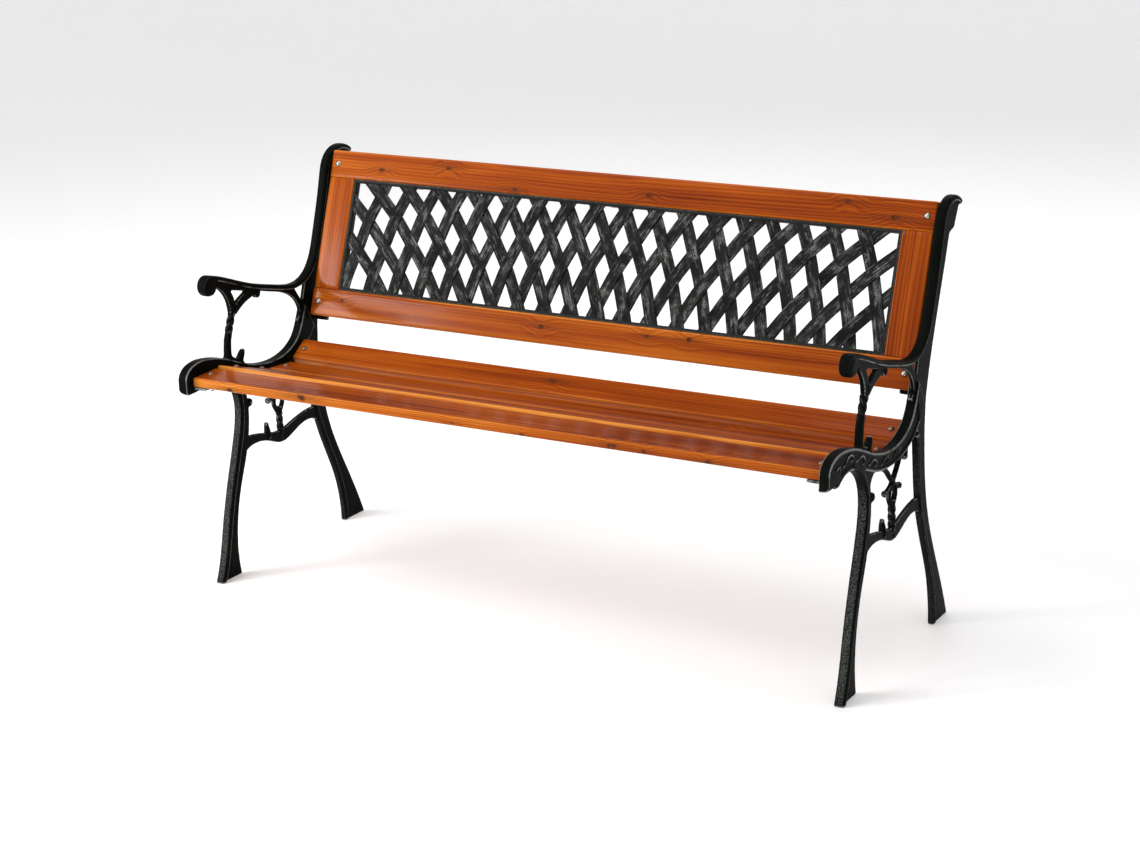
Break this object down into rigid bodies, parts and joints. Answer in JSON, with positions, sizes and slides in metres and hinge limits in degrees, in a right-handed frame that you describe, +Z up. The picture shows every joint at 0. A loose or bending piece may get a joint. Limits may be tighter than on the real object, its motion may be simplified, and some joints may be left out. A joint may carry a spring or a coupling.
{
  "type": "garden bench",
  "caption": "Garden bench with cast iron end frames, varnished wooden seat slats and a leaning wooden back panel with a cast lattice.",
  "frame": {"origin": "on the floor under the middle of the bench's overall box", "axes": "+X along the bench to the sitter's left-hand end (right-hand end in a front view), -Y to the front, +Z up; left and right in node names are as seen from the front"},
  "size_m": [1.203, 0.517, 0.7128],
  "materials": {
    "cast_iron": "semi-gloss black paint with worn grey edges",
    "cast_lattice": "charcoal paint dry-brushed with silver",
    "varnished_pine": "orange-brown gloss varnish",
    "zinc_steel": "bright zinc plate",
    "dowel_wood": "plain"
  },
  "bodies": {
    "root": {"end_frame_left": "cast_iron", "end_frame_right": "cast_iron", "seat_slat_1": "varnished_pine", "seat_slat_2": "varnished_pine", "seat_slat_3": "varnished_pine", "seat_slat_4": "varnished_pine", "seat_slat_5": "varnished_pine", "back_bottom_rail": "varnished_pine", "back_top_rail": "varnished_pine", "back_stile_left": "varnished_pine", "back_stile_right": "varnished_pine", "stile_dowels": "dowel_wood", "back_lattice": "cast_lattice", "lattice_screws": "zinc_steel", "seat_bolts": "zinc_steel", "seat_washers": "zinc_steel", "seat_nuts": "zinc_steel", "back_rail_bolts": "zinc_steel", "back_rail_washers": "zinc_steel", "back_rail_nuts": "zinc_steel"}
  },
  "joints": []
}
